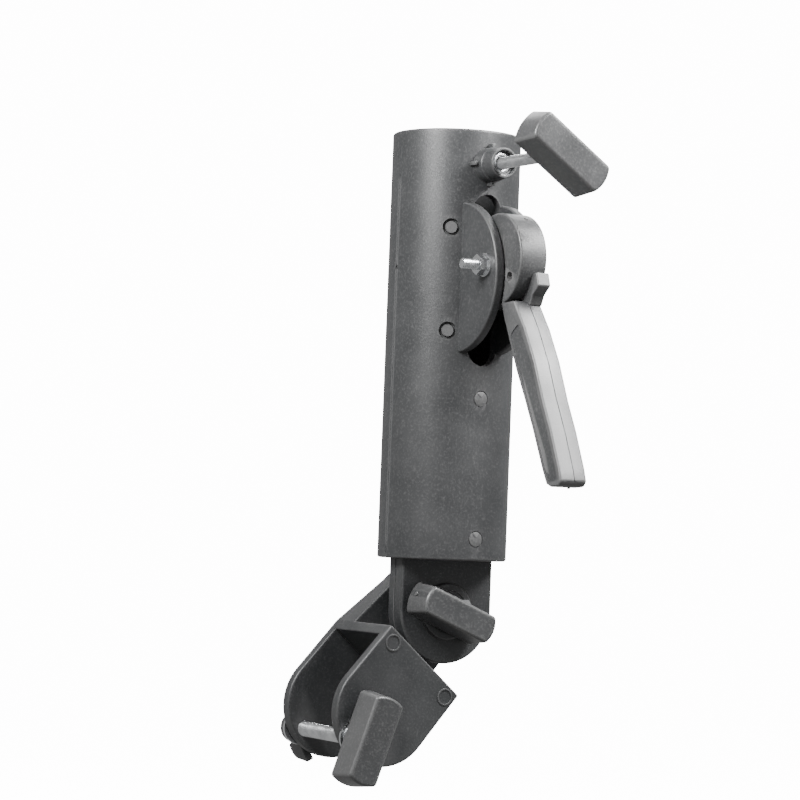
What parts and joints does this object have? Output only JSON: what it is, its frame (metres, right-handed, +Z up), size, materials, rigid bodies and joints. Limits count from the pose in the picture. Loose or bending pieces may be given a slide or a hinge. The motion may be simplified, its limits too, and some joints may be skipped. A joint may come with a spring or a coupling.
{
  "type": "umbrella swivel bracket",
  "caption": "Black plastic pole socket with a set screw and a cam lever, tilting on a half-lap hinge above a clamp for a sloping box rail.",
  "frame": {"origin": "middle of the clamp's face that sits on top of the rail", "axes": "+Z up along the socket tube's bore, -Y towards the knobs, the rail slopes down towards +X"},
  "size_m": [0.0839, 0.1277, 0.2519],
  "materials": {
    "moulded_nylon": "glass-filled nylon with a fine spark-eroded grain",
    "handle_nylon": "glass-filled nylon, slightly smoother, edges rubbed",
    "nut_nylon": "moulded nylon",
    "tip_nylon": "natural nylon",
    "fibre_disc": "dark pressed fibre",
    "zinc_steel": "bright zinc plate"
  },
  "bodies": {
    "clamp": {"clamp_body": "moulded_nylon", "hinge_nut": "zinc_steel", "hinge_friction_disc": "fibre_disc", "clamp_washer": "zinc_steel"},
    "socket": {"socket_tube": "moulded_nylon", "boss_insert": "zinc_steel", "cam_pivot_bolt": "zinc_steel", "cam_pivot_nut": "zinc_steel", "cam_pivot_washers": "zinc_steel"},
    "lever": {"cam_lever": "moulded_nylon"},
    "screw_tip": {"set_screw_tip": "tip_nylon"},
    "set_knob": {"set_screw": "zinc_steel", "set_screw_handle": "handle_nylon"},
    "hinge_slide": {"hinge_washer": "zinc_steel"},
    "hinge_knob": {"hinge_bolt": "zinc_steel", "hinge_handle": "handle_nylon"},
    "clamp_knob": {"clamp_bolt": "zinc_steel", "clamp_handle": "handle_nylon"},
    "rear_nut": {"thumb_nut": "nut_nylon", "thumb_nut_insert": "zinc_steel", "thumb_nut_washer": "zinc_steel"}
  },
  "joints": [
    {"name": "socket_tilt", "type": "hinge", "parent": "clamp", "child": "socket", "pos_m": [0.02004, 0, 0.02153], "axis": [0, -1, 0], "range_deg": [-118, 40]},
    {"name": "cam_lever_swing", "type": "hinge", "parent": "socket", "child": "lever", "pos_m": [0.02004, -0.0413, 0.15303], "axis": [1, 0, 0], "range_deg": [-80, 22]},
    {"name": "set_screw_travel", "type": "slide", "parent": "socket", "child": "screw_tip", "axis": [0, 1, 0], "range_m": [-0.0016, 0.012]},
    {"name": "set_screw_turn", "type": "hinge", "parent": "screw_tip", "child": "set_knob", "pos_m": [0.02004, -0.07, 0.19303], "axis": [0, 1, 0], "range_deg": [-720, 5400]},
    {"name": "hinge_screw_travel", "type": "slide", "parent": "clamp", "child": "hinge_slide", "axis": [0, -1, 0], "range_m": [0, 0.002]},
    {"name": "hinge_screw_turn", "type": "hinge", "parent": "hinge_slide", "child": "hinge_knob", "pos_m": [0.02004, -0.01, 0.02153], "axis": [0, -1, 0], "range_deg": [0, 720]},
    {"name": "clamp_knob_turn", "type": "hinge", "parent": "clamp", "child": "clamp_knob", "pos_m": [-0.02686, -0.024, -0.02541], "axis": [0, -1, 0], "range_deg": [0, 720]},
    {"name": "rear_nut_travel", "type": "slide", "parent": "clamp", "child": "rear_nut", "axis": [0, 1, 0], "range_m": [0, 0.002]}
  ],
  "couplings": [
    {"joint": "set_screw_travel", "follows": "set_screw_turn", "m_per_rad": 0.00012732},
    {"joint": "hinge_screw_travel", "follows": "hinge_screw_turn", "m_per_rad": 0.00015915},
    {"joint": "rear_nut_travel", "follows": "clamp_knob_turn", "m_per_rad": 0.00015915}
  ]
}
